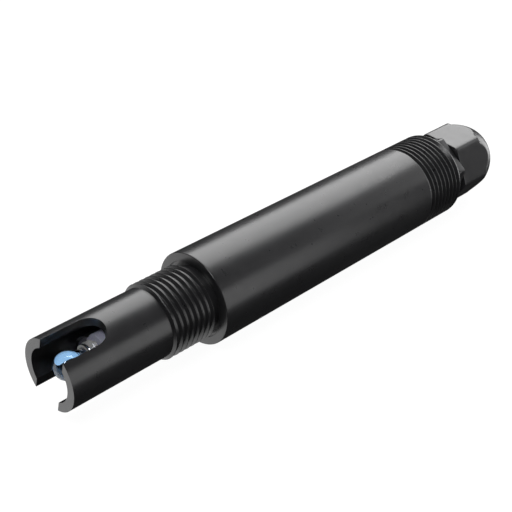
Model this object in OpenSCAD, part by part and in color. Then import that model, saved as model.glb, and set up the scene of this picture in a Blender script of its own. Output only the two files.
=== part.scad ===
// Water quality probe: a glass pH electrode in a moulded barrel with a slotted tip guard,
// pipe threads at both ends of the barrel and a cable gland at the rear.
// The axis lies along X. The origin is where the axis meets the shoulder face behind the
// front thread, the tip points along -X, the cable gland along +X, and +Z is up.

/* [Barrel] */
// Outside diameter of the barrel
barrel_d = 26.7; // [26:0.1:27.5]
// Length from the shoulder face to the rear face
barrel_len = 102; // [100:1:130]
// Inside diameter of the main bore
main_bore_d = 20.4; // [20.4:0.1:21]
// Length of the threaded nipple in front of the shoulder face
nipple_len = 15.35; // [15.35:0.05:18]
// Inside diameter of the nipple
nipple_bore_d = 16.8; // [16.4:0.1:17]

/* [Pipe threads] */
// Distance between neighbouring crests: 14 threads to the inch
pitch = 1.814; // [1.7:0.001:1.82]
// Depth of the thread
thread_depth = 0.85; // [0.5:0.05:0.9]
// Diameter over the crests of the front thread
front_thread_d = 21.4; // [21.2:0.1:21.6]
// Crests on the front thread
front_crests = 8; // [4:1:8]
// Crests on the rear thread
rear_crests = 7; // [4:1:12]

/* [Tip guard] */
// Length from the shoulder face to the tip of the guard
tip_len = 46; // [44:1:60]
// Outside diameter of the guard
guard_d = 19.6; // [19:0.1:19.6]
// Inside diameter of the guard
guard_bore_d = 14.4; // [13:0.1:14.8]
// Width of the slot across the tip
slot_w = 8.9; // [6:0.1:10]
// Depth of the slot from the tip to its round end
slot_len = 14.9; // [10:0.1:18]
// Turn of the slot about the axis, away from straight up
slot_roll = 16; // [0:1:90]

/* [Electrode] */
// Diameter of the glass bulb
bulb_d = 7.3; // [6.5:0.1:8]
// Distance from the tip of the guard back to the bulb's centre
bulb_back = 5.35; // [5:0.05:6]
// Outside diameter of the outer glass tube
glass_d = 10.3; // [10:0.1:10.3]
// Distance from the tip of the guard back to the front of the outer tube
glass_back = 10.6; // [10.5:0.1:12]
// Outside diameter of the inner stem tube
stem_d = 4.8; // [4.6:0.1:4.8]

/* [Cable gland] */
// Width across the corners of the gland body's hexagon
body_hex_d = 24.8; // [24:0.1:25]
// Turn of the gland body's hexagon about the axis
body_hex_roll = 10; // [0:1:59]
// Width across the corners of the dome nut
nut_hex_d = 24.9; // [24:0.1:25]
// Turn of the dome nut about the axis when tight
nut_hex_roll = 36; // [0:1:59]
// Length of the dome nut's corners, from its front face
nut_hex_len = 12; // [10:0.1:13]
// Overall length of the dome nut
nut_len = 21; // [21:0.1:24]
// Diameter of the cable hole in the rubber seal
cable_d = 6.4; // [5:0.1:8]

/* [Hidden] */

$fn = 96;
eps = 0.5;              // how far a cutter runs past the face that it cuts
slip = 0.05;            // radial room between pieces that fit into each other
chamfer = 0.3;          // broken edges of the barrel
seat_r = 11;            // inner radius of the shoulder's flat ring
seat_relief = 0.3;      // depth of the relief inside that ring, which lets a fitting's rim seat

// Thread form: straight crests with flanks 30 degrees off square
crest_half = 0.27;
flank_run = thread_depth * tan(30);
front_thread_x = -nipple_len + crest_half + flank_run;      // centre of the first crest
rear_land = 0.9;                        // plain ring behind the rear thread
rear_thread_x = barrel_len - rear_land + crest_half - rear_crests * pitch;  // centre of the first crest

// Stations of the electrode
bulb_x = -tip_len + bulb_back;
bulb_wall = 0.3;
neck_x = bulb_x + 3.45;                 // where the bulb's neck is fused to the stem
stem_bore_d = 3.4;
stem_end_x = 38;
glass_x = -tip_len + glass_back;
glass_end_x = 39;
glass_wall = 0.9;
glass_round = 2;                        // outer radius of the tube's rounded front
glass_bore_d = glass_d - 2 * glass_wall;
junction_len = 3;
stopper_x = 30;
wire_r = 0.35;
reference_r = 0.3;
lead_r = 0.2;
lead_gap = 0.9;                         // between the two temperature leads
side_r = 3.32;                          // radius at which wires run between stem and outer tube
wire_end_x = 52.5;                      // ends of the wires, inside the header

// Seats inside the barrel
step_x = 8;                             // step from the nipple's bore to the main bore
spigot_end_x = -4;
bush_flange = 3;
o_ring_r = 0.83;
o_ring_x = [0, 5];
o_ring_groove_w = 2.2;
lock_ring_len = 4;
spacer_x = 24;
spacer_len = 4;

// Electronics
shield_x = 45;
shield_end_x = 88.5;
shield_wall = 0.3;
carrier_r = main_bore_d / 2 - 0.1 - shield_wall - 0.1;
board_w = 13.2;
board_len = 39;
board_x = 48;
board_t = 1.6;
board_top = -5;
carrier_lip = 1;                        // height of the carrier's rails above the board
board_screw_x = [57.5, 73.5];
header_x = 49;
terminal_x = 76;
terminal_len = 10;
terminal_pitch = 3.2;
poles = 4;

// Rear closure and gland
plug_len = 12.5;
gland_thread_d = 16;                    // screws into the rear plug
gland_thread_len = 11;
body_hex_len = 4;
nut_thread_d = 17.4;                    // carries the dome nut
claw_x = 11.5;                          // from the rear face to the roots of the claws
claw_end_x = 17.5;
claws = 8;
gland_bore_d = 10.6;
seal_flange_len = 1.1;
nut_gap = 0.3;
nut_x = barrel_len + body_hex_len + nut_gap;
nut_end_x = nut_x + nut_len;
dome_len = 15.4;                        // half axis of the dome's elliptical outline
dome_r = 8.57;
dome_inner_r = 3.83;
thrust_x = claw_end_x + barrel_len + 1.5;
thrust_len = 1.5;
nut_shoulder_x = thrust_x + thrust_len + 0.1;

// ---- shared shapes -------------------------------------------------------------------

// A solid of revolution about X; points are [radius, x]
module lathe(points) rotate([0, 90, 0]) rotate_extrude() polygon(points);

// A round bar on the axis
module rod(x0, x1, r) translate([x0, 0, 0]) rotate([0, 90, 0]) cylinder(h = x1 - x0, r = r);

// A round tube on the axis
module tube(x0, x1, r_out, r_in) difference() {
    rod(x0, x1, r_out);
    rod(x0 - eps, x1 + eps, r_in);
}

// A ring of round section around the axis
module o_ring(x, ring_r, section_r)
    translate([x, 0, 0]) rotate([0, 90, 0]) rotate_extrude() translate([ring_r, 0]) circle(r = section_r);

// A hexagonal bar on the axis, with one corner up when roll is 0
module hex_bar(x0, x1, d, roll)
    translate([x0, 0, 0]) rotate([roll, 0, 0]) rotate([0, 90, 0]) cylinder(h = x1 - x0, d = d, $fn = 6);

// A block given by its lowest and highest corners
module block(low, high) translate(low) cube(high - low);

// One crest of a thread as four points of an outline
function crest(x, top_r) = [
    [top_r - thread_depth, x - crest_half - flank_run],
    [top_r, x - crest_half],
    [top_r, x + crest_half],
    [top_r - thread_depth, x + crest_half + flank_run]
];

// A row of crests
function crests(x, count, top_r) = [for (i = [0 : count - 1]) each crest(x + i * pitch, top_r)];

// Points of an outline along an arc about the axis point x: angle 0 faces the tip, 90 points outwards
function arc(centre_r, x, r, from, to, steps = 24) = [
    for (i = [0 : steps]) let (a = from + (to - from) * i / steps)
        [centre_r + r * sin(a), x - r * cos(a)]
];

// All the wires of the electrode, made thicker by room
module wires(room) {
    rod(bulb_x, wire_end_x, wire_r + room);
    translate([0, 0, side_r]) rod(-25, wire_end_x, reference_r + room);
    for (side = [-1, 1])
        translate([0, side * lead_gap / 2, -side_r]) rod(-21, wire_end_x, lead_r + room);
}

// ---- housing -------------------------------------------------------------------------

module barrel() color("#26272a") difference() {
    lathe(concat(
        [[0, -nipple_len], [front_thread_d / 2 - thread_depth, -nipple_len]],
        crests(front_thread_x, front_crests, front_thread_d / 2),
        [
            [front_thread_d / 2 - thread_depth, seat_relief],
            [seat_r, seat_relief],
            [seat_r, 0],
            [barrel_d / 2 - chamfer, 0],
            [barrel_d / 2, chamfer],
            [barrel_d / 2, rear_thread_x - pitch + crest_half],
            [barrel_d / 2 - thread_depth, rear_thread_x - pitch + crest_half + flank_run]
        ],
        crests(rear_thread_x, rear_crests, barrel_d / 2),
        [
            [barrel_d / 2 - thread_depth, rear_thread_x + rear_crests * pitch - crest_half - flank_run],
            [barrel_d / 2, rear_thread_x + rear_crests * pitch - crest_half],
            [barrel_d / 2, barrel_len - chamfer],
            [barrel_d / 2 - chamfer, barrel_len],
            [0, barrel_len]
        ]
    ));
    rod(-nipple_len - eps, step_x + eps, nipple_bore_d / 2);
    rod(step_x, barrel_len + eps, main_bore_d / 2);
}

module tip_guard() color("#2a2b2e") difference() {
    union() {
        rod(-tip_len, -nipple_len, guard_d / 2);
        rod(-nipple_len, spigot_end_x, nipple_bore_d / 2 - slip);
    }
    rod(-tip_len - eps, spigot_end_x + eps, guard_bore_d / 2);
    rotate([slot_roll, 0, 0]) {
        translate([-tip_len - eps, -slot_w / 2, -guard_d])
            cube([slot_len - slot_w / 2 + eps, slot_w, 2 * guard_d]);
        translate([-tip_len + slot_len - slot_w / 2, 0, -guard_d]) cylinder(h = 2 * guard_d, d = slot_w);
    }
}

// ---- electrode -----------------------------------------------------------------------

module glass_bulb() color("#a8d0f2", 0.5) {
    inner_d = bulb_d - 2 * bulb_wall;
    lathe(concat(
        arc(0, bulb_x, bulb_d / 2, 0, 180 - asin(stem_d / bulb_d)),
        [[stem_d / 2, neck_x], [stem_bore_d / 2, neck_x]],
        arc(0, bulb_x, inner_d / 2, 180 - asin(stem_bore_d / inner_d), 0)
    ));
}

module buffer_fill() color("#5c9fe0", 0.6) difference() {
    union() {
        translate([bulb_x, 0, 0]) sphere(d = bulb_d - 2 * bulb_wall - slip);
        rod(bulb_x, 25, stem_bore_d / 2 - slip);
    }
    wires(slip);
}

module stem_tube() color("#c9ccd4", 0.4) tube(neck_x, stem_end_x, stem_d / 2, stem_bore_d / 2);

module stem_plug() color("#6b6e73") difference() {
    rod(stem_end_x - 5, stem_end_x, stem_bore_d / 2 - slip);
    wires(slip);
}

module measuring_wire() color("#b9bcc2") rod(bulb_x, wire_end_x, wire_r);

module outer_glass() color("#c9ccd4", 0.4) {
    round_x = glass_x + glass_round;
    round_r = glass_d / 2 - glass_round;
    lathe(concat(
        arc(round_r, round_x, glass_round, 0, 90, 12),
        [[glass_d / 2, glass_end_x], [glass_bore_d / 2, glass_end_x]],
        arc(round_r, round_x, glass_round - glass_wall, 90, 0, 12)
    ));
}

module junction_ring() color("#e8e6df")
    tube(glass_x, glass_x + junction_len, glass_d / 2 - glass_round - slip, stem_d / 2 + slip);

module reference_gel() color("#dfe3e8", 0.4) difference() {
    tube(glass_x + junction_len + 0.5, stopper_x, glass_bore_d / 2 - slip, stem_d / 2 + slip);
    wires(slip);
    temperature_space(slip);
}

module reference_wire() color("#8f8a84") translate([0, 0, side_r]) rod(-25, wire_end_x, reference_r);

// The space of the temperature element, made larger by room
module temperature_space(room) translate([0, 0, -side_r]) rod(-30 - room, -21 + room, 0.8 + room);

module temperature_element() color("#f2f1ec") temperature_space(0);

module temperature_leads() color("#c98d4a")
    for (side = [-1, 1])
        translate([0, side * lead_gap / 2, -side_r]) rod(-21, wire_end_x, lead_r);

module glass_stopper() color("#6b6e73") difference() {
    tube(stopper_x, stem_end_x, glass_bore_d / 2 - slip, stem_d / 2 + slip);
    wires(slip);
}

module glass_cap() color("#1f2023") difference() {
    rod(stopper_x, 44, 6.6);
    rod(stopper_x - eps, glass_end_x + 1, glass_d / 2 + slip);
    wires(slip);
}

// ---- seats inside the barrel ---------------------------------------------------------

module electrode_bush() color("#d9d7d0") difference() {
    union() {
        rod(spigot_end_x, step_x, nipple_bore_d / 2 - slip);
        rod(step_x, step_x + bush_flange, main_bore_d / 2 - slip);
    }
    rod(spigot_end_x - eps, step_x + bush_flange + eps, glass_d / 2 + slip);
    for (x = o_ring_x)
        rod(x - o_ring_groove_w / 2, x + o_ring_groove_w / 2, glass_d / 2 + slip + 2 * o_ring_r);
}

module electrode_o_rings() color("#101113")
    for (x = o_ring_x) o_ring(x, glass_d / 2 + slip + o_ring_r, o_ring_r);

module lock_ring() color("#3b3d40") {
    x = step_x + bush_flange;
    difference() {
        tube(x, x + lock_ring_len, main_bore_d / 2 - slip, glass_d / 2 + 0.5);
        block([x + 2, -1.25, -main_bore_d], [x + lock_ring_len + eps, 1.25, main_bore_d]);
    }
}

module rear_spacer() color("#d9d7d0") difference() {
    tube(spacer_x, spacer_x + spacer_len, main_bore_d / 2 - slip, glass_d / 2 + slip);
    for (i = [0 : 5])
        rotate([60 * i, 0, 0]) translate([0, 0, 7.6]) rod(spacer_x - eps, spacer_x + spacer_len + eps, 1.5);
}

// ---- electronics ---------------------------------------------------------------------

module shield_tube() color("#b07b45")
    tube(shield_x, shield_end_x, main_bore_d / 2 - 0.1, main_bore_d / 2 - 0.1 - shield_wall);

module board_carrier() color("#d9d7d0") difference() {
    rod(board_x - 2, board_x + board_len, carrier_r);
    block([board_x - 3, -carrier_r, board_top + carrier_lip], [board_x + board_len + eps, carrier_r, carrier_r]);
    block([board_x - slip, -board_w / 2 - slip, board_top - board_t],
        [board_x + board_len + eps, board_w / 2 + slip, carrier_r]);
    for (x = board_screw_x)
        translate([x, 0, -carrier_r]) cylinder(h = carrier_r, r = 1);
}

module preamp_board() color("#1f6b3f") difference() {
    block([board_x, -board_w / 2, board_top - board_t], [board_x + board_len, board_w / 2, board_top]);
    for (x = board_screw_x)
        translate([x, 0, board_top - board_t - eps]) cylinder(h = board_t + 2 * eps, r = 1.1);
}

module board_screws() color("#c3c5c9")
    for (x = board_screw_x) {
        translate([x, 0, board_top - 4]) cylinder(h = 4, r = 0.95);
        difference() {
            translate([x, 0, board_top]) cylinder(h = 1.3, r = 1.9);
            translate([x, 0, board_top + 0.6]) cylinder(h = 1, r = 0.9, $fn = 6);
        }
    }

module input_header() color("#1b1c1f") difference() {
    block([header_x, -5, board_top], [header_x + 5, 5, 4.7]);
    wires(slip);
}

module amplifier_chip() color("#17181a") block([61, -2, board_top], [66, 2, board_top + 1.5]);

module board_resistors() color("#2c2d31")
    for (x = [60.5, 63.5, 66.5, 69.5], side = [-1, 1])
        block([x, side * 4.6 - 0.6, board_top], [x + 2, side * 4.6 + 0.6, board_top + 0.55]);

module board_capacitors() color("#a3835a")
    for (y = [-1.6, 1.6])
        translate([69.5, y, board_top]) cylinder(h = 4, r = 1.25);

module terminal_block() color("#2f7d4f") difference() {
    block([terminal_x, -poles / 2 * terminal_pitch, board_top],
        [terminal_x + terminal_len, poles / 2 * terminal_pitch, board_top + 8]);
    for (i = [0 : poles - 1]) {
        y = (i - (poles - 1) / 2) * terminal_pitch;
        translate([0, y, board_top + 2.6]) rod(terminal_x + 3, terminal_x + terminal_len + eps, 1.1);
        translate([terminal_x + 6, y, board_top + 3]) cylinder(h = 6, r = 1.25);
    }
}

module terminal_screws() color("#c3c5c9")
    for (i = [0 : poles - 1]) {
        y = (i - (poles - 1) / 2) * terminal_pitch;
        translate([terminal_x + 6, y, board_top + 4]) difference() {
            cylinder(h = 3.4, r = 1.2);
            block([-2, -0.2, 2.6], [2, 0.2, 4]);
        }
    }

// ---- rear closure and cable gland ----------------------------------------------------

module rear_plug() color("#2a2b2e") difference() {
    tube(barrel_len - plug_len, barrel_len, main_bore_d / 2 - slip, gland_thread_d / 2);
    tube(barrel_len - 8.8, barrel_len - 7.2, main_bore_d, 9.2);
}

module plug_o_ring() color("#101113") o_ring(barrel_len - 8, 9.68, 0.48);

module gland_body() color("#242528") difference() {
    union() {
        rod(barrel_len - gland_thread_len, barrel_len, gland_thread_d / 2 - slip);
        hex_bar(barrel_len, barrel_len + body_hex_len, body_hex_d, body_hex_roll);
        rod(barrel_len + body_hex_len, barrel_len + claw_x, nut_thread_d / 2);
        lathe([
            [0, barrel_len + claw_x],
            [7.9, barrel_len + claw_x],
            [7.9, barrel_len + claw_x + 3],
            [6.9, barrel_len + claw_end_x],
            [0, barrel_len + claw_end_x]
        ]);
    }
    rod(barrel_len - gland_thread_len - eps, barrel_len + claw_end_x + eps, gland_bore_d / 2);
    tube(barrel_len - eps, barrel_len + 1.3, 9.4, gland_thread_d / 2);
    for (i = [0 : claws / 2 - 1])
        rotate([180 / claws + 360 / claws * i, 0, 0])
            block([barrel_len + claw_x + 1, -0.4, -9], [barrel_len + claw_end_x + eps, 0.4, 9]);
}

module gland_o_ring() color("#101113") o_ring(barrel_len + 0.65, 8.7, 0.64);

module seal_insert() color("#15161a") difference() {
    union() {
        rod(barrel_len + 7, barrel_len + claw_end_x, gland_bore_d / 2 - slip);
        rod(barrel_len + claw_end_x, barrel_len + claw_end_x + seal_flange_len, 6.4);
    }
    rod(barrel_len, barrel_len + claw_end_x + seal_flange_len + eps, cable_d / 2);
}

module thrust_ring() color("#d9d7d0") tube(thrust_x, thrust_x + thrust_len, 8.1, 5.2);

// The dome's outline runs along an ellipse, from the end of the corners to the flat end
module dome_nut() color("#2b2c2f") difference() {
    dome_x = nut_end_x + 0.35 - dome_len;
    first_a = asin((nut_x + nut_hex_len - dome_x) / dome_len);
    last_a = asin((nut_end_x - dome_x) / dome_len);
    steps = 16;
    full_r = nut_hex_d / 2 + 0.2;
    intersection() {
        hex_bar(nut_x, nut_end_x, nut_hex_d, nut_hex_roll);
        lathe(concat(
            [[0, nut_x], [full_r, nut_x], [full_r, nut_x + nut_hex_len - 0.2]],
            [for (i = [0 : steps]) let (a = first_a + (last_a - first_a) * i / steps)
                [dome_inner_r + dome_r * cos(a), dome_x + dome_len * sin(a)]],
            [[0, nut_end_x]]
        ));
    }
    rod(nut_x - eps, barrel_len + claw_x + 1, nut_thread_d / 2 + slip);
    rod(nut_x, nut_shoulder_x, 8.2);
    rod(nut_x, nut_end_x + eps, 4.9);
}

barrel();
tip_guard();
glass_bulb();
buffer_fill();
stem_tube();
stem_plug();
measuring_wire();
outer_glass();
junction_ring();
reference_gel();
reference_wire();
temperature_element();
temperature_leads();
glass_stopper();
glass_cap();
electrode_bush();
electrode_o_rings();
lock_ring();
rear_spacer();
shield_tube();
board_carrier();
preamp_board();
board_screws();
input_header();
amplifier_chip();
board_resistors();
board_capacitors();
terminal_block();
terminal_screws();
rear_plug();
plug_o_ring();
gland_body();
gland_o_ring();
seal_insert();
thrust_ring();
dome_nut();
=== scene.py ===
"""Looks of the water quality probe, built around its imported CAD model.

Lengths in this file are millimetres until a mesh is made, where MM turns them into metres. The probe's axis
lies along X, its tip points along -X, its cable gland along +X, and an angle about the axis is counted from
straight up towards -Y, which is the way a right-hand thread turns as it runs along +X.
"""

import bmesh
import bpy
import numpy as np
from mathutils import Matrix, Vector


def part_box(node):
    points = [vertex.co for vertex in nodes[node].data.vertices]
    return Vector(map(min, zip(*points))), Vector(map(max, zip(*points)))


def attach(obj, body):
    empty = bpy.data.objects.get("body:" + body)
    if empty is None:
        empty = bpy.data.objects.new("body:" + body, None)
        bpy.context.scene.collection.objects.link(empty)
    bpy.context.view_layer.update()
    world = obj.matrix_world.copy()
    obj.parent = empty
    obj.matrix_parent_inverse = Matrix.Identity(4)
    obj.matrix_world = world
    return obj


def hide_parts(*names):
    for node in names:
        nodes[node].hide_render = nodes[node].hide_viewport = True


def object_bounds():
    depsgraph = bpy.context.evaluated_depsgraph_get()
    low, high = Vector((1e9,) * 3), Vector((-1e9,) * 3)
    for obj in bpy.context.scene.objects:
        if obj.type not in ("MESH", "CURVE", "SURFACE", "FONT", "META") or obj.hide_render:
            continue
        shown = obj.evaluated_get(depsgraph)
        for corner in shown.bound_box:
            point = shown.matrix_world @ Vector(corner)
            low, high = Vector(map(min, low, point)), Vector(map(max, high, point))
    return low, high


MM = 0.001
TURN = 2 * np.pi

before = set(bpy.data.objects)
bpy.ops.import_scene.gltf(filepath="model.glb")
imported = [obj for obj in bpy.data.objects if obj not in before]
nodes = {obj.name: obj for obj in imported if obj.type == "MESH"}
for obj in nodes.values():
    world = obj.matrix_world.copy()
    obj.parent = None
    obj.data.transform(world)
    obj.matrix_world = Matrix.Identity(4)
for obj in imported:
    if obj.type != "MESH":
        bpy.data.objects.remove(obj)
cad_bounds = [list(corner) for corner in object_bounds()]


def span(node):
    """First station, last station and largest radius of a CAD node about the axis, in millimetres."""
    low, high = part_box(node)
    return low.x / MM, high.x / MM, high.z / MM


# ---- camera, floor and light -------------------------------------------------------------------------------

# Distances and sizes are in metres here, and angles in degrees.
VIEW_TARGET = Vector((0.0272, 0.0035, 0.0))
VIEW_DISTANCE = 0.2934
VIEW_AZIMUTH = -45.0
VIEW_ELEVATION = 31.69
VIEW_LENS = 73.0
FLOOR_Z = cad_bounds[0][2]
FLOOR_SIZE = 8.0
LAMP_DISTANCE = 0.9

WORLD_GREY = 0.02           # what lights the probe from all around
FLOOR_BOUNCE = 0.12         # the floor's grey as the probe sees it
FLOOR_PAPER = 0.12          # the floor's grey as the camera sees it, which carries the shadow
FLOOR_WHITE = 0.965         # plain white added to that for the camera


def towards(azimuth, elevation):
    """The direction at azimuth degrees from +X towards +Y, and elevation degrees up."""
    a, e = np.radians(azimuth), np.radians(elevation)
    return Vector((np.cos(e) * np.cos(a), np.cos(e) * np.sin(a), np.sin(e)))


def add_camera():
    """A level camera, VIEW_DISTANCE from the target on the side that VIEW_AZIMUTH names."""
    camera = bpy.data.objects.new("camera", bpy.data.cameras.new("camera"))
    bpy.context.collection.objects.link(camera)
    camera.data.lens = VIEW_LENS
    camera.data.clip_start = 0.01
    away = towards(VIEW_AZIMUTH - 90, VIEW_ELEVATION)
    camera.location = VIEW_TARGET + away * VIEW_DISTANCE
    camera.rotation_euler = (-away).to_track_quat("-Z", "Y").to_euler()
    bpy.context.scene.camera = camera
    bpy.context.scene.view_settings.view_transform = "Standard"


def softbox(name, direction, width, height, radiance, roll=0.0):
    """A soft rectangular lamp LAMP_DISTANCE away from the target and facing it, as bright all over as
    radiance says. Its width runs along the probe's axis as nearly as it can, and is then turned by roll
    degrees in its own plane."""
    direction = Vector(direction).normalized()
    side = (Vector((1, 0, 0)) - direction * direction.x).normalized()
    side = Matrix.Rotation(np.radians(roll), 3, direction) @ side
    lamp = bpy.data.lights.new(name, "AREA")
    lamp.shape = "RECTANGLE"
    lamp.size, lamp.size_y = width, height
    lamp.energy = radiance * np.pi * width * height
    holder = bpy.data.objects.new(name, lamp)
    bpy.context.collection.objects.link(holder)
    turn = Matrix((side, direction.cross(side), direction)).transposed()
    holder.matrix_world = Matrix.Translation(VIEW_TARGET + direction * LAMP_DISTANCE) @ turn.to_4x4()
    holder.visible_camera = False


def seen_directly(tree):
    """A value that is 1 for what the camera sees, also through glass, and 0 for any other light."""
    path = tree.nodes.new("ShaderNodeLightPath")
    either = tree.nodes.new("ShaderNodeMath")
    either.operation = "MAXIMUM"
    tree.links.new(path.outputs["Is Camera Ray"], either.inputs[0])
    tree.links.new(path.outputs["Is Transmission Ray"], either.inputs[1])
    return either.outputs[0]


def add_world():
    """A dim grey room that is white to the camera, but not through glass: the bulb would gather the white."""
    world = bpy.data.worlds.new("room")
    bpy.context.scene.world = world
    world.use_nodes = True
    tree = world.node_tree
    background = tree.nodes["Background"]
    mix = tree.nodes.new("ShaderNodeMix")
    mix.data_type = "RGBA"
    mix.inputs["A"].default_value = (WORLD_GREY, WORLD_GREY, WORLD_GREY, 1)
    mix.inputs["B"].default_value = (1, 1, 1, 1)
    path = tree.nodes.new("ShaderNodeLightPath")
    tree.links.new(path.outputs["Is Camera Ray"], mix.inputs["Factor"])
    tree.links.new(mix.outputs["Result"], background.inputs["Color"])


def add_floor():
    """A pale floor: white to the camera but for the shadow, and dim where it lights the probe."""
    half = FLOOR_SIZE / 2
    mesh = bpy.data.meshes.new("floor")
    corners = [(-half, -half, FLOOR_Z), (half, -half, FLOOR_Z), (half, half, FLOOR_Z), (-half, half, FLOOR_Z)]
    mesh.from_pydata(corners, [], [(0, 1, 2, 3)])
    floor = bpy.data.objects.new("floor", mesh)
    bpy.context.collection.objects.link(floor)
    material = bpy.data.materials.new("floor_paper")
    material.use_nodes = True
    tree = material.node_tree
    tree.nodes.clear()
    seen = seen_directly(tree)
    shade = tree.nodes.new("ShaderNodeMix")
    shade.data_type = "RGBA"
    shade.inputs["A"].default_value = (FLOOR_BOUNCE, FLOOR_BOUNCE, FLOOR_BOUNCE, 1)
    shade.inputs["B"].default_value = (FLOOR_PAPER, FLOOR_PAPER, FLOOR_PAPER, 1)
    tree.links.new(seen, shade.inputs["Factor"])
    paper = tree.nodes.new("ShaderNodeBsdfDiffuse")
    tree.links.new(shade.outputs["Result"], paper.inputs["Color"])
    glow = tree.nodes.new("ShaderNodeMath")
    glow.operation = "MULTIPLY"
    glow.inputs[1].default_value = FLOOR_WHITE
    tree.links.new(seen, glow.inputs[0])
    white = tree.nodes.new("ShaderNodeEmission")
    tree.links.new(glow.outputs[0], white.inputs["Strength"])
    both = tree.nodes.new("ShaderNodeAddShader")
    tree.links.new(paper.outputs[0], both.inputs[0])
    tree.links.new(white.outputs[0], both.inputs[1])
    out = tree.nodes.new("ShaderNodeOutputMaterial")
    tree.links.new(both.outputs[0], out.inputs["Surface"])
    floor.visible_shadow = False            # the boxes below floor level shine through it
    floor.visible_glossy = False
    mesh.materials.append(material)


def add_lights():
    """Six softboxes: a large one over the gland end, which gives the long highlight, a weak one beside it, a
    low one in front, one past the gland that lights its dome, a broad one below the tip that lights every
    face turned to the tip, and a small bright one above the tip that lights the slot."""
    softbox("rear_softbox", (0.54, 0.46, 0.71), 1.08, 0.81, 3.65, -21)
    softbox("side_fill", (0.83, -0.30, 0.47), 0.34, 0.60, 0.95)
    softbox("front_strip", (0.38, -0.92, 0.07), 0.60, 0.62, 1.4)
    softbox("end_box", (0.96, -0.12, 0.0), 0.52, 0.52, 2.5)
    softbox("tip_box", (-0.55, 0.58, -0.60), 1.10, 1.55, 1.2)
    softbox("top_box", (-0.45, -0.25, 0.86), 0.34, 0.34, 8.0)


# ---- shapes ------------------------------------------------------------------------------------------------

MERGE = 0.002               # points closer together than this become one
SHARP_ANGLE = 32.0          # edges sharper than this many degrees stay sharp, or are bevelled


def around(x, r, phi):
    """Points at station x and distance r from the axis, turned about the axis by phi."""
    x, r, phi = np.broadcast_arrays(x, r, phi)
    return np.stack([x, -r * np.sin(phi), r * np.cos(phi)], -1)


def ring_of(columns):
    """Angles once around the axis in even steps, with the last one a full turn after the first."""
    return np.linspace(0, TURN, columns + 1)


def rounded(outline, radius, steps=3):
    """An outline of (station, distance from axis) points whose corners are replaced by parabolas: each starts
    and ends radius away from the corner, or a third of the way to its neighbour where that is less."""
    p = np.asarray(outline, float)
    before, after = np.roll(p, 1, 0), np.roll(p, -1, 0)
    back, on = before - p, after - p
    back_len = np.linalg.norm(back, axis=1, keepdims=True)
    on_len = np.linalg.norm(on, axis=1, keepdims=True)
    a = p + back / back_len * np.minimum(radius, back_len / 3)
    b = p + on / on_len * np.minimum(radius, on_len / 3)
    t = np.linspace(0, 1, steps + 1)[:, None, None]
    curve = (1 - t) ** 2 * a + 2 * t * (1 - t) * p + t**2 * b
    return curve.transpose(1, 0, 2).reshape(-1, 2)


def closed(rows):
    """The same rows with the first one again at the end."""
    return np.concatenate([rows, rows[:1]])


def ring_rows(outline, phi):
    """A grid of points: a row for each (station, radius) point of the outline, a column for each angle."""
    outline = np.asarray(outline, float)
    return around(outline[:, :1], outline[:, 1:], phi)


def turned(outline, columns=96):
    """The outline carried once around the axis in so many steps."""
    return ring_rows(outline, ring_of(columns))


def make_piece(name, patches, body, replaces, slot, finish, sharp=SHARP_ANGLE):
    """One mesh from patches, each a grid of points whose cells become quads. Patches join where their borders
    hold the same points, and faces are then turned outwards."""
    points, quads, first = [], [], 0
    for grid in patches:
        rows, columns = grid.shape[:2]
        i = first + np.arange(rows * columns).reshape(rows, columns)
        quads.append(np.stack([i[:-1, :-1], i[:-1, 1:], i[1:, 1:], i[1:, :-1]], -1).reshape(-1, 4))
        points.append(grid.reshape(-1, 3))
        first += rows * columns
    mesh = bpy.data.meshes.new(name)
    mesh.from_pydata(np.concatenate(points) * MM, [], np.concatenate(quads))
    work = bmesh.new()
    work.from_mesh(mesh)
    bmesh.ops.remove_doubles(work, verts=work.verts, dist=MERGE * MM)
    bmesh.ops.recalc_face_normals(work, faces=work.faces)
    work.to_mesh(mesh)
    work.free()
    mesh.polygons.foreach_set("use_smooth", np.ones(len(mesh.polygons), bool))
    mesh.set_sharp_from_angle(angle=np.radians(sharp))
    mesh.materials.append(finish.material)
    piece = bpy.data.objects.new(name, mesh)
    bpy.context.collection.objects.link(piece)
    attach(piece, body)
    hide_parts(*replaces)
    return piece


def bevelled(piece, width):
    """Rounds the piece's sharp edges by width millimetres."""
    bevel = piece.modifiers.new("broken_edges", "BEVEL")
    bevel.width = width * MM
    bevel.segments = 3
    bevel.limit_method = "ANGLE"
    bevel.angle_limit = np.radians(SHARP_ANGLE)
    bevel.harden_normals = True
    return piece


# ---- threads -----------------------------------------------------------------------------------------------

PIPE_PITCH = 1.814          # 14 threads to the inch
CREST_HALF = 0.07           # half the width of a crest's flat, on the front thread
REAR_CREST_HALF = 0.12      # and on the rear one
THREAD_DEPTH = 0.85
FLANK_RUN = 0.50            # length along the axis of a flank
EDGE = 0.035                # half the length over which a thread's corners are rounded


def thread_height(u, crest_half, flank_run):
    """Height of a thread from 0 at its root to 1 at its crest, u millimetres from the middle of a crest: a
    flat crest, straight flanks and a flat root, averaged over a short length, which rounds the corners."""
    shifts = np.linspace(-EDGE, EDGE, 5)
    reach = np.abs(u[..., None] + shifts)
    return np.clip((crest_half + flank_run - reach) / flank_run, 0, 1).mean(-1)


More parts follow.
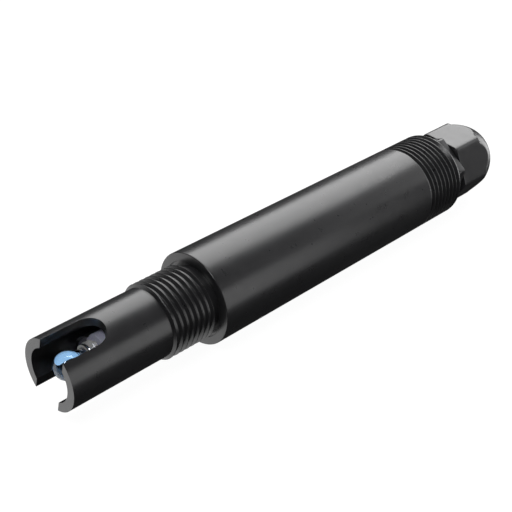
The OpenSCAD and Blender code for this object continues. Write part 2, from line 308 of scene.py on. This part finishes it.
def thread_rows(first, last, root_r, depth, pitch, crest_x, crest_half, flank_run, fade, phi):
    """Rows of a right-hand thread between two stations. Each row follows the helix, so it moves on by one
    pitch in a turn, and rows past an end lie on it. The thread fades in and out over fade millimetres."""
    foot = crest_half + flank_run
    near = np.array([-EDGE, -EDGE / 3, EDGE / 3, EDGE])
    half = np.concatenate([crest_half + near, [crest_half + flank_run / 2], foot + near])
    half = half[half < pitch / 2]
    offsets = np.concatenate([-half[::-1], [0], half])
    turns = np.arange(np.floor((first - crest_x) / pitch) - 1, np.ceil((last - crest_x) / pitch) + 1)
    along = (turns[:, None] * pitch + offsets).reshape(-1, 1)
    x = np.clip(crest_x + along + pitch * phi / TURN, first, last)
    phase = (x - crest_x) / pitch - phi / TURN
    u = (phase - np.round(phase)) * pitch
    ends = np.clip((x - first) / fade, 0, 1) * np.clip((last - x) / fade, 0, 1)
    return around(x, root_r + depth * ends * thread_height(u, crest_half, flank_run), phi)


# ---- barrel ------------------------------------------------------------------------------------------------

BARREL_COLUMNS = 160
SHOULDER_R = 11.0           # inner radius of the shoulder's flat ring
SEAT_RELIEF = 0.3
NIPPLE_BORE_R = 8.4
MAIN_BORE_R = 10.2
BORE_STEP_X = 8.0
BROKEN_EDGE = 0.3           # radius of the shoulder's rounded edge
REAR_EDGE = 0.55            # how far the rear rim is rounded inwards, and how far along the axis
REAR_EDGE_LEN = 0.8
REAR_LAND = 0.9             # plain ring behind the rear thread
REAR_CRESTS = 7
REAR_FADE = 0.5             # length over which the rear thread fades out
FRONT_THREAD_R = 10.7
FRONT_THREAD_END = -0.9
FRONT_FADE = 0.6
VISIBLE_TURN = 0.14         # the crests have their stated places this part of a turn away from straight up
GRIP_ROWS = 24


def barrel_rows():
    """The barrel's wall as one closed outline, carried around the axis: the nipple's front, its thread, the
    shoulder, the long smooth grip, the rear thread and the bores. Corners are softened by two points each,
    0.05 to 0.08 mm away, and quarter ellipses round the shoulder's edge and the rear rim."""
    front, rear, r = span("barrel")
    phi = ring_of(BARREL_COLUMNS)
    front_root = FRONT_THREAD_R - THREAD_DEPTH
    first_crest = front + CREST_HALF + FLANK_RUN
    lead = [
        (front, NIPPLE_BORE_R + 0.1),
        (front, front_root - 0.05),
        (front + 0.06, front_root + 0.05),
        (first_crest - CREST_HALF - 0.06, FRONT_THREAD_R - 0.07),
        (first_crest - CREST_HALF + 0.06, FRONT_THREAD_R),
        (first_crest + CREST_HALF - 0.06, FRONT_THREAD_R),
        (first_crest + CREST_HALF + 0.06, FRONT_THREAD_R - 0.07),
        (first_crest + CREST_HALF + FLANK_RUN - 0.05, front_root + 0.05),
        (first_crest + CREST_HALF + FLANK_RUN + 0.05, front_root),
    ]
    front_thread = thread_rows(
        first_crest + CREST_HALF + FLANK_RUN + 0.06, FRONT_THREAD_END, front_root, THREAD_DEPTH, PIPE_PITCH,
        first_crest + PIPE_PITCH * (1 - VISIBLE_TURN), CREST_HALF, FLANK_RUN, FRONT_FADE, phi,
    )
    rear_root = r - THREAD_DEPTH
    last_foot = rear - REAR_LAND - FLANK_RUN
    first_rear = rear - REAR_LAND + CREST_HALF - REAR_CRESTS * PIPE_PITCH
    groove = first_rear - PIPE_PITCH + CREST_HALF
    turn = np.linspace(0, np.pi / 2, 5)
    shoulder = np.stack([BROKEN_EDGE * (1 - np.sin(turn)), r - BROKEN_EDGE * (1 - np.cos(turn))], -1)[::-1]
    middle = [
        (FRONT_THREAD_END + 0.05, front_root),
        (SEAT_RELIEF, front_root),
        (SEAT_RELIEF, SHOULDER_R - 0.05),
        (SEAT_RELIEF - 0.05, SHOULDER_R),
        (0.05, SHOULDER_R),
        (0, SHOULDER_R + 0.05),
        *shoulder,
        (BROKEN_EDGE + 0.2, r),
        *[(x, r) for x in np.linspace(BROKEN_EDGE, groove - 0.25, GRIP_ROWS)[1:]],
        (groove - 0.05, r),
        (groove + 0.06, r - 0.06),
        (groove + FLANK_RUN - 0.05, rear_root + 0.06),
        (groove + FLANK_RUN + 0.05, rear_root),
    ]
    rear_thread = thread_rows(
        groove + FLANK_RUN + 0.06, last_foot - 0.06, rear_root, THREAD_DEPTH, PIPE_PITCH,
        first_rear - PIPE_PITCH * VISIBLE_TURN, REAR_CREST_HALF, FLANK_RUN, REAR_FADE, phi,
    )
    end = [
        (last_foot, rear_root + 0.04),
        (rear - REAR_LAND - 0.06, r - 0.08),
        (rear - REAR_LAND + 0.06, r),
        *np.stack([rear - REAR_EDGE_LEN * (1 - np.sin(turn)), r - REAR_EDGE * (1 - np.cos(turn))], -1),
        (rear, MAIN_BORE_R + 0.2),
        (rear - 0.2, MAIN_BORE_R),
        (BORE_STEP_X, MAIN_BORE_R),
        (BORE_STEP_X, NIPPLE_BORE_R),
        (front + 0.1, NIPPLE_BORE_R),
    ]
    parts = [ring_rows(lead, phi), front_thread, ring_rows(middle, phi), rear_thread, ring_rows(end, phi)]
    return closed(np.concatenate(parts))


# ---- tip guard ---------------------------------------------------------------------------------------------

GUARD_BORE_R = 7.2
GUARD_EDGE = 0.1            # width of its bevelled edges
SPIGOT_R = 8.35             # the end that sits in the nipple, with its chamfer's length and depth
SPIGOT_CHAMFER = (0.4, 0.3)
SLOT_HALF = 4.45
SLOT_LEN = 14.9
SLOT_ROLL = np.radians(16)
SLOT_STEPS = 28             # cells across a slot's round end, and around a prong
PRONG_STEPS = 48


def guard_angle(t, r):
    """Angle at distance r from the axis. For t from 0 to 1 it crosses the slot, as the arcsine of a sideways
    offset that runs across the slot as a cosine, and for t from 1 to 2 it crosses the prong evenly."""
    edge = np.arcsin(SLOT_HALF / r)
    across = np.arcsin(-SLOT_HALF * np.cos(np.pi * np.clip(t, 0, 1)) / r)
    beyond = np.clip(t - 1, 0, 1) * (np.pi - 2 * edge)
    return across + beyond


def guard_patches():
    """The guard's wall: behind the slots it runs all around, and ahead of them it is two prongs. A slot's end
    is a half circle seen from above."""
    tip, spigot_end, r = span("tip_guard")
    nipple_front = span("barrel")[0]
    arc_x = tip + SLOT_LEN - SLOT_HALF
    slot = np.linspace(0, 1, SLOT_STEPS + 1)
    prong = np.linspace(1, 2, PRONG_STEPS + 1)
    chamfer_len, chamfer = SPIGOT_CHAMFER
    patches = []
    for half in (0, 1):
        base = SLOT_ROLL + half * np.pi
        t = np.concatenate([slot, prong[1:]])
        brim = arc_x + SLOT_HALF * np.sin(np.pi * np.clip(t, 0, 1))
        ease = np.linspace(0, 1, 13)[:, None] ** 1.5
        outer = around(brim + (nipple_front - brim) * ease, r, base + guard_angle(t, r))
        spigot = [(spigot_end - chamfer_len, SPIGOT_R), (spigot_end, SPIGOT_R - chamfer)]
        rows = [around(x, q, base + guard_angle(t, q))[None] for x, q in [(nipple_front, SPIGOT_R), *spigot]]
        inner = around(spigot_end + (brim - spigot_end) * (1 - ease[::-1]), GUARD_BORE_R,
                       base + guard_angle(t, GUARD_BORE_R))
        patches.append(np.concatenate([outer, *rows, inner]))
        patches.append(np.stack([inner[-1], outer[0]])[:, :len(slot)])
        x = np.linspace(tip, arc_x, 9)[:, None]
        patches.append(around(x, r, base + guard_angle(prong, r)))
        patches.append(around(x, GUARD_BORE_R, base + guard_angle(prong, GUARD_BORE_R)))
        wall = np.linspace(GUARD_BORE_R, r, 2)[:, None]
        patches.append(around(tip, wall, base + guard_angle(prong, wall)))
        for edge in (1.0, 2.0):
            patches.append(around(x.T, wall, base + guard_angle(np.full_like(x.T, edge), wall)))
    return patches


# ---- dome nut and gland body -------------------------------------------------------------------------------


def least(a, b, width):
    """The smaller of two lengths, eased over width so that the two surfaces meet in a small rounding."""
    near = np.clip(width - np.abs(a - b), 0, None) / width
    return np.minimum(a, b) - near**2 * width / 4


def hexagon(phi, flat_r, roll, power):
    """Distance from the axis to a hexagon with one corner at roll: flat_r over a power mean of the six
    cosines to its flats. A lower power rounds the corners more."""
    flats = roll + np.radians(30 + 60 * np.arange(6))
    cosines = np.clip(np.cos(phi[..., None] - flats), 0, 1)
    return flat_r / (cosines**power).sum(-1) ** (1 / power)


NUT_COLUMNS = 240
HEX_EDGE = 0.2              # length and depth of the rounding where a hexagon meets its end face
HEX_EDGE_DEPTH = 0.12
NUT_ROLL = np.radians(36)
NUT_FLAT_R = 10.88
NUT_POWER = 28              # how sharp its corners are
NUT_CORNER_LEN = 12.0       # from the nut's front face to where its corners give way to the dome
NUT_CORNER_EASE = 0.35      # rows lie closer together this far either side of that place
NUT_FACE_R = 10.0
NUT_THREAD_R = 8.75
NUT_INNER_R = 8.2
NUT_MOUTH_R = 4.9
MOUTH_EDGE = 0.12           # where the dome gives way to the rim around the mouth
DOME_LEN = 15.4             # half axes of the dome's ellipse, and how far its middle is off the axis
DOME_R = 8.57
DOME_OFFSET = 3.83
DOME_CUT = 0.35             # how much of that outline the mouth's flat rim cuts off
CLAW_X = 11.5               # from the barrel's rear face to the roots of the claws


def nut_rows():
    """The nut's wall as one closed outline carried around the axis. Outside, the distance from the axis is
    the lesser of the hexagon's and the dome's, an ellipse raised four to one ahead of the corners' end."""
    start, end, _ = span("dome_nut")
    phi = ring_of(NUT_COLUMNS)
    rear_face = span("barrel")[1]
    dome_x = end + DOME_CUT - DOME_LEN
    corner_end = start + NUT_CORNER_LEN
    x = np.concatenate([
        start + HEX_EDGE * np.linspace(0, 1, 4),
        np.linspace(start + HEX_EDGE, corner_end - NUT_CORNER_EASE, 24)[1:],
        corner_end + NUT_CORNER_EASE * np.linspace(-1, 1, 9)[1:],
        np.linspace(corner_end + NUT_CORNER_EASE, end - MOUTH_EDGE, 70)[1:],
    ])[:, None]
    edge = HEX_EDGE_DEPTH * (1 - np.clip((x - start) / HEX_EDGE, 0, 1)) ** 2
    hexagonal = hexagon(phi, NUT_FLAT_R, NUT_ROLL, NUT_POWER)[None] - edge
    dome = DOME_OFFSET + DOME_R * np.sqrt(1 - (np.clip(x - dome_x, 0, DOME_LEN) / DOME_LEN) ** 2)
    proud = 4 * np.clip(corner_end - x, 0, None)
    outside = around(x, least(hexagonal, dome + proud, 0.15), phi)
    mouth_r = DOME_OFFSET + DOME_R * np.sqrt(1 - ((end - MOUTH_EDGE - dome_x) / DOME_LEN) ** 2)
    shoulder = span("thrust_ring")[1] + 0.1
    inside = [
        (end - 0.03, mouth_r - 0.09),
        (end, mouth_r - 0.2),
        (end, NUT_MOUTH_R + 0.1),
        (end - 0.1, NUT_MOUTH_R),
        (shoulder, NUT_MOUTH_R),
        (shoulder, NUT_INNER_R),
        (rear_face + CLAW_X + 1, NUT_INNER_R),
        (rear_face + CLAW_X + 1, NUT_THREAD_R),
        (start + 0.4, NUT_THREAD_R),
        (start, NUT_THREAD_R + 0.35),
        (start, NUT_FACE_R),
    ]
    return closed(np.concatenate([outside, ring_rows(inside, phi)]))


BODY_ROLL = np.radians(10)
BODY_FLAT_R = 10.74
BODY_POWER = 70             # how sharp its hexagon's corners are
BODY_HEX_LEN = 4.0
GLAND_THREAD_R = 8.7        # the thread that carries the nut: crests, roots, pitch and form
GLAND_ROOT_R = 7.95
GLAND_PITCH = 1.5
GLAND_CREST_HALF = 0.2
GLAND_FLANK_RUN = 0.38
GLAND_FADE = 0.6
GLAND_BORE_R = 5.3
GLAND_LOWER_R = 7.95        # the end that screws into the plug
SEAL_GROOVE = 1.3           # depth and outer radius of the groove for the O-ring under the hexagon
SEAL_GROOVE_R = 9.4
CLAWS = 8
CLAW_R = 7.9
CLAW_TIP_R = 6.9
SLIT_HALF = 0.4


def gland_patches():
    """The gland body: a closed outline carried around the axis for the hexagon and both ends, and eight claws
    with straight slits between them. Cones at 30 degrees take the hexagon's corners off on the barrel's side.
    A claw is an outline carried across its own angle. Its cut sides are fans around the outline's mean."""
    start, end, _ = span("gland_body")
    rear_face = span("barrel")[1]
    phi = ring_of(NUT_COLUMNS)
    hex_end = rear_face + BODY_HEX_LEN
    x = np.concatenate([np.linspace(0, 1, 8), BODY_HEX_LEN - HEX_EDGE * np.linspace(1, 0, 4)])[:, None]
    hexagonal = hexagon(phi, BODY_FLAT_R, BODY_ROLL, BODY_POWER)[None]
    edge = HEX_EDGE_DEPTH * (1 - np.clip((BODY_HEX_LEN - x) / HEX_EDGE, 0, 1)) ** 2
    chamfer = BODY_FLAT_R - 0.05 + x / np.tan(np.radians(30))
    hex_rows = around(rear_face + x, least(hexagonal - edge, chamfer, 0.2), phi)
    foot = [(hex_end, GLAND_ROOT_R + 0.2), (hex_end + 0.15, GLAND_ROOT_R)]
    thread = thread_rows(
        hex_end + 0.2, rear_face + CLAW_X - 0.1, GLAND_ROOT_R, GLAND_THREAD_R - GLAND_ROOT_R, GLAND_PITCH,
        hex_end + 1.2, GLAND_CREST_HALF, GLAND_FLANK_RUN, GLAND_FADE, phi,
    )
    root_x = rear_face + CLAW_X + 1
    neck = ring_rows([(rear_face + CLAW_X, GLAND_ROOT_R - 0.05), (root_x, CLAW_R)], phi)
    bore = [
        (root_x, GLAND_BORE_R),
        (start + 0.4, GLAND_BORE_R),
        (start, GLAND_BORE_R + 0.4),
        (start, GLAND_LOWER_R - 0.4),
        (start + 0.4, GLAND_LOWER_R),
        (rear_face + SEAL_GROOVE, GLAND_LOWER_R),
        (rear_face + SEAL_GROOVE, SEAL_GROOVE_R),
        (rear_face, SEAL_GROOVE_R),
    ]
    wall = [ring_rows(bore, phi), hex_rows, ring_rows(foot, phi), thread, neck]
    patches = [closed(np.concatenate(wall))]
    sunk = root_x - 0.1
    tip = [(root_x + 2, CLAW_R), (end, CLAW_TIP_R), (end, GLAND_BORE_R)]
    claw = rounded([(sunk, GLAND_BORE_R), (sunk, CLAW_R), *tip], 0.1)
    t = np.linspace(-1, 1, 13)
    for i in range(CLAWS):
        middle = i * TURN / CLAWS
        reach = np.pi / CLAWS - np.arcsin(SLIT_HALF / claw[:, 1:])
        skin = around(claw[:, :1], claw[:, 1:], middle + reach * t)
        patches.append(closed(skin))
        for side in (0, -1):
            rim = skin[:, side]
            fan = np.stack([rim, np.broadcast_to(rim.mean(0), rim.shape)], 1)
            patches.append(closed(fan))
    return patches


# ---- electrode ---------------------------------------------------------------------------------------------

STEM_R = 2.4
STEM_BORE_R = 1.7
BULB_WALL = 0.3
GLASS_WALL = 0.9
GLASS_ROUND = 2.0           # outer radius of the tube's rounded front
NECK_EASE = 0.8             # how gently the bulb goes over into its stem
FILL_OVERLAP = 0.02         # how far the filling reaches into the bulb's glass, so that no gap shows
FILL_SLIP = 0.05            # how far it stays away from the stem's bore


def bulb_outline(centre, r, stem_r, last):
    """A sphere from its pole to its widest, a quarter circle, and on to last, as the larger of the sphere's
    and the stem's distance from the axis."""
    a = np.linspace(0, np.pi / 2, 24)
    front = np.stack([centre - r * np.cos(a), r * np.sin(a)], -1)
    x = np.linspace(centre, last, 28)[1:]
    sphere = np.sqrt(np.clip(r**2 - (x - centre) ** 2, 0, None))
    return np.concatenate([front, np.stack([x, -least(-sphere, -stem_r, NECK_EASE)], -1)])


def bulb_rows():
    """The bulb's glass: the outer surface from pole to neck, and the inner one back to its pole."""
    pole, neck, r = span("glass_bulb")
    outer = bulb_outline(pole + r, r, STEM_R, neck)
    inner = bulb_outline(pole + r, r - BULB_WALL, STEM_BORE_R, neck)
    return turned(np.concatenate([outer, inner[::-1]]))


def buffer_rows():
    """The filling of bulb and stem, closed at both ends."""
    pole, neck, r = span("glass_bulb")
    end = span("buffer_fill")[1]
    stem_r = STEM_BORE_R - FILL_SLIP
    fill = bulb_outline(pole + r, r - BULB_WALL + FILL_OVERLAP, stem_r, neck)
    return turned(np.concatenate([fill, [(end, stem_r), (end, 0)]]))


def tube_front(front, r, radius):
    """The rounded front of the outer tube, as a quarter circle of that radius from face to side."""
    a = np.linspace(0, np.pi / 2, 14)
    return np.stack([front + GLASS_ROUND - radius * np.cos(a), r - GLASS_ROUND + radius * np.sin(a)], -1)


def tube_rows():
    """The outer tube, with a rounded front that turns in towards the stem."""
    front, end, r = span("outer_glass")
    outer = tube_front(front, r, GLASS_ROUND)
    inner = tube_front(front, r, GLASS_ROUND - GLASS_WALL)
    rear = [(end, r), (end, r - GLASS_WALL)]
    return turned(closed(np.concatenate([outer, rear, inner[::-1]])), 128)


def collar(node, inner_r, edge):
    """A plain ring with broken edges: the node's ends and outer radius, and inner_r for its bore."""
    first, last, r = span(node)
    return turned(closed(rounded([(first, inner_r), (first, r), (last, r), (last, inner_r)], edge)))


CABLE_HOLE_R = 3.2
SLEEVE_R = 5.25
LIP_HEIGHT = 0.36           # height and spacing of the lips that grip the cable
LIP_PITCH = 2.4
THRUST_BORE_R = 5.2
THRUST_EDGE = 0.2


def seal_rows():
    """The gland's rubber seal: a sleeve with a flange, and lips in its bore that follow a cosine."""
    first, last, r = span("seal_insert")
    flange = span("gland_body")[1]
    hole = CABLE_HOLE_R
    x = np.linspace(last - 0.5, first + 0.5, 60)
    lips = hole + LIP_HEIGHT / 2 * (1 - np.cos((x - last) * TURN / LIP_PITCH))
    sleeve = [(first, hole + 0.5), (first, SLEEVE_R - 0.35), (first + 0.35, SLEEVE_R), (flange, SLEEVE_R)]
    rim = [(flange, r - 0.15), (flange + 0.15, r), (last - 0.3, r), (last - 0.08, r - 0.08), (last, r - 0.3)]
    mouth = [(last, hole + 0.75), (last - 0.1, hole + 0.55), (last - 0.3, hole + 0.4)]
    return turned(closed(np.concatenate([sleeve, rim, mouth, np.stack([x, lips], -1)])))


# ---- finishes ----------------------------------------------------------------------------------------------


class Finish:
    """A material with one Principled shader. Its patterns follow Object coordinates."""

    def __init__(self, name, sockets):
        self.material = bpy.data.materials.new(name)
        self.material.use_nodes = True
        self.tree = self.material.node_tree
        self.surface = self.tree.nodes["Principled BSDF"]
        for socket, value in sockets.items():
            self.surface.inputs[socket].default_value = value
        self.place = self.tree.nodes.new("ShaderNodeTexCoord").outputs["Object"]
        self.normal = None

    def stretched(self, x, y, z):
        """Object coordinates multiplied by three factors, so that a pattern runs longer along one axis."""
        mapping = self.tree.nodes.new("ShaderNodeMapping")
        mapping.inputs["Scale"].default_value = (x, y, z)
        self.tree.links.new(self.place, mapping.inputs["Vector"])
        return mapping.outputs["Vector"]

    def noise(self, size, detail=3.0, place=None):
        """Cloudy noise whose features are size millimetres across."""
        texture = self.tree.nodes.new("ShaderNodeTexNoise")
        texture.inputs["Scale"].default_value = 1 / (size * MM)
        texture.inputs["Detail"].default_value = detail
        self.tree.links.new(place or self.place, texture.inputs["Vector"])
        return texture.outputs["Fac"]

    def ramp(self, value, *stops):
        """Colours at positions along value, with straight blends between them."""
        node = self.tree.nodes.new("ShaderNodeValToRGB")
        elements = node.color_ramp.elements
        while len(elements) < len(stops):
            elements.new(0.5)
        for element, (position, colour) in zip(elements, stops):
            element.position = position
            element.color = (*colour, 1)
        self.tree.links.new(value, node.inputs["Fac"])
        return node.outputs["Color"]

    def coloured(self, value, dark, light, low=0.35, high=0.65):
        """Base colour that drifts from dark to light as value rises."""
        self.tree.links.new(self.ramp(value, (low, dark), (high, light)), self.surface.inputs["Base Color"])
        return self

    def rough(self, value, low, high):
        """Roughness between low and high, as value goes from 0.3 to 0.7."""
        node = self.tree.nodes.new("ShaderNodeMapRange")
        node.inputs["From Min"].default_value = 0.3
        node.inputs["From Max"].default_value = 0.7
        node.inputs["To Min"].default_value = low
        node.inputs["To Max"].default_value = high
        self.tree.links.new(value, node.inputs["Value"])
        self.tree.links.new(node.outputs["Result"], self.surface.inputs["Roughness"])
        return self

    def embossed(self, value, depth):
        """Bumps of depth millimetres on top of those already there."""
        bump = self.tree.nodes.new("ShaderNodeBump")
        bump.inputs["Strength"].default_value = 1.0
        bump.inputs["Distance"].default_value = depth * MM
        self.tree.links.new(value, bump.inputs["Height"])
        if self.normal:
            self.tree.links.new(self.normal, bump.inputs["Normal"])
        self.normal = bump.outputs["Normal"]
        self.tree.links.new(self.normal, self.surface.inputs["Normal"])
        return self


def moulded_plastic(name, dark, light, low, high, grain=0.0015, ior=1.5, flow=(1, 1, 1)):
    """Moulded plastic: slow drifts of shade along its flow, uneven gloss and a very fine grain."""
    finish = Finish(name, {"IOR": ior})
    finish.coloured(finish.noise(9, 2, finish.stretched(*flow)), dark, light)
    finish.rough(finish.noise(2.6, 4), low, high)
    finish.embossed(finish.noise(0.22, 2), grain)
    return finish


def clear_glass(name, tint, sheen):
    """Clear glass with faint smears of uneven gloss and slow waves. Its reflections are tinted with sheen."""
    sockets = {"IOR": 1.5, "Transmission Weight": 1.0, "Base Color": (*tint, 1), "Specular Tint": (*sheen, 1)}
    finish = Finish(name, sockets)
    finish.rough(finish.noise(1.8, 3), 0.0, 0.05)
    finish.embossed(finish.noise(3.0, 1, finish.stretched(0.3, 1, 1)), 0.004)
    return finish


def coloured_filling(name, first, second, sheen, ior, clearness):
    """A liquid or gel whose colour drifts between two shades, clear where clearness is 1, milky at 0."""
    finish = Finish(name, {"IOR": ior, "Transmission Weight": clearness, "Specular Tint": (*sheen, 1)})
    finish.coloured(finish.noise(4, 1), first, second)
    finish.rough(finish.noise(3, 1), 0.0, 0.02)
    return finish


def rubber(name):
    """Black rubber: dull, with a fine bloom."""
    finish = Finish(name, {"IOR": 1.5})
    finish.coloured(finish.noise(1.4, 5), (0.012, 0.012, 0.013), (0.026, 0.026, 0.027))
    finish.rough(finish.noise(0.5, 3), 0.55, 0.75)
    finish.embossed(finish.noise(0.12, 3), 0.004)
    return finish


def drawn_metal(name, dark, light, low, high):
    """Metal drawn or turned along the axis: long fine streaks in shade, gloss and relief."""
    finish = Finish(name, {"Metallic": 1.0})
    streaks = finish.stretched(0.04, 1, 1)
    finish.coloured(finish.noise(0.5, 3, streaks), dark, light)
    finish.rough(finish.noise(0.12, 3, streaks), low, high)
    finish.embossed(finish.noise(0.06, 2, streaks), 0.001)
    return finish


def ceramic(name):
    """Unglazed ceramic: pale, porous and speckled."""
    finish = Finish(name, {"IOR": 1.5})
    finish.coloured(finish.noise(0.15, 6), (0.62, 0.60, 0.55), (0.83, 0.82, 0.78))
    finish.rough(finish.noise(0.3, 3), 0.7, 0.95)
    finish.embossed(finish.noise(0.09, 5), 0.012)
    return finish


def sealant(name):
    """Grey sealing compound with a soft, slightly lumpy skin."""
    finish = Finish(name, {"IOR": 1.45})
    finish.coloured(finish.noise(1.2, 4), (0.12, 0.125, 0.13), (0.20, 0.205, 0.21))
    finish.rough(finish.noise(0.8, 3), 0.4, 0.6)
    finish.embossed(finish.noise(0.9, 3), 0.03)
    return finish


def board_laminate(name):
    """Green solder mask over straight copper tracks, which run along the board and stand a little proud."""
    finish = Finish(name, {"IOR": 1.5, "Coat Weight": 0.3, "Coat Roughness": 0.15})
    tracks = finish.tree.nodes.new("ShaderNodeTexWave")
    tracks.wave_type = "BANDS"
    tracks.bands_direction = "Y"
    tracks.inputs["Scale"].default_value = 260
    tracks.inputs["Distortion"].default_value = 2.5
    tracks.inputs["Detail"].default_value = 0
    tracks.inputs["Detail Scale"].default_value = 90
    finish.tree.links.new(finish.stretched(0.12, 1, 1), tracks.inputs["Vector"])
    finish.coloured(tracks.outputs["Fac"], (0.008, 0.075, 0.028), (0.018, 0.16, 0.055), 0.70, 0.78)
    finish.rough(finish.noise(1.2, 3), 0.3, 0.42)
    finish.embossed(tracks.outputs["Fac"], 0.02)
    return finish


def add_finishes():
    """Every finish by the name of the record's slot that it belongs to."""
    blacks = (0.020, 0.020, 0.0215), (0.030, 0.030, 0.032)
    blues = (0.38, 0.64, 0.96), (0.30, 0.57, 0.92)
    milky = (0.95, 0.95, 1.0), (0.85, 0.85, 1.0)
    greens = (0.02, 0.18, 0.07), (0.03, 0.24, 0.09)
    sky = (0.85, 0.92, 1.0)
    lilac = (0.8, 0.8, 1.0)
    return {
        "barrel_plastic": moulded_plastic("barrel_satin", *blacks, 0.27, 0.32, 0.0008, 1.62, (0.3, 1, 1)),
        "guard_plastic": moulded_plastic("guard_satin", *blacks, 0.27, 0.32, 0.0008, 1.62, (0.4, 1, 1)),
        "gland_plastic": moulded_plastic("gland_nylon", *blacks, 0.28, 0.33, 0.002, 1.66),
        "cap_plastic": moulded_plastic("cap_black", (0.010, 0.010, 0.011), (0.018, 0.018, 0.019), 0.4, 0.5),
        "ring_plastic": moulded_plastic("ring_grey", (0.04, 0.04, 0.042), (0.06, 0.06, 0.062), 0.35, 0.5),
        "white_plastic": moulded_plastic("white_acetal", (0.62, 0.61, 0.58), (0.72, 0.71, 0.68), 0.32, 0.45),
        "sensing_glass": clear_glass("bulb_glass", (0.96, 0.98, 1.0), sky),
        "clear_glass": clear_glass("tube_glass", (0.94, 0.95, 1.0), (0.9, 0.9, 1.0)),
        "buffer_solution": coloured_filling("blue_buffer", *blues, sky, 1.42, 1.0),
        "reference_gel": coloured_filling("reference_gel", *milky, lilac, 1.38, 0.0),
        "porous_ceramic": ceramic("porous_ceramic"),
        "grey_sealant": sealant("grey_sealant"),
        "seal_rubber": rubber("seal_rubber"),
        "silver_wire": drawn_metal("silver_wire", (0.55, 0.55, 0.56), (0.78, 0.77, 0.75), 0.2, 0.35),
        "copper": drawn_metal("copper_sheet", (0.66, 0.36, 0.20), (0.86, 0.52, 0.33), 0.22, 0.36),
        "screw_steel": drawn_metal("screw_steel", (0.45, 0.45, 0.46), (0.62, 0.62, 0.63), 0.22, 0.38),
        "circuit_board": board_laminate("green_laminate"),
        "tantalum": moulded_plastic("tantalum_yellow", (0.52, 0.30, 0.07), (0.60, 0.36, 0.10), 0.3, 0.45),
        "terminal_green": moulded_plastic("terminal_green", *greens, 0.3, 0.42),
    }


# ---- putting the probe together ----------------------------------------------------------------------------

add_camera()
add_world()
add_floor()
add_lights()
finishes = add_finishes()


slot_of = {name: node.material_slots[0].material.name.split(".")[0] for name, node in nodes.items()}


def piece_for(node, patches, body="probe", **more):
    """A piece that stands for one CAD node, in the finish of that node's slot."""
    slot = slot_of[node]
    return make_piece(node + "_skin", patches, body, [node], slot, finishes[slot], **more)


piece_for("barrel", [barrel_rows()])
bevelled(piece_for("tip_guard", guard_patches()), GUARD_EDGE)
piece_for("glass_bulb", [bulb_rows()], sharp=50)
piece_for("buffer_fill", [buffer_rows()], sharp=50)
piece_for("outer_glass", [tube_rows()], sharp=50)
piece_for("gland_body", gland_patches())
piece_for("seal_insert", [seal_rows()])
piece_for("thrust_ring", [collar("thrust_ring", THRUST_BORE_R, THRUST_EDGE)], "thrust_ring")
piece_for("dome_nut", [nut_rows()], "dome_nut", sharp=40)

for name, node in nodes.items():
    node.material_slots[0].material = finishes[slot_of[name]].material
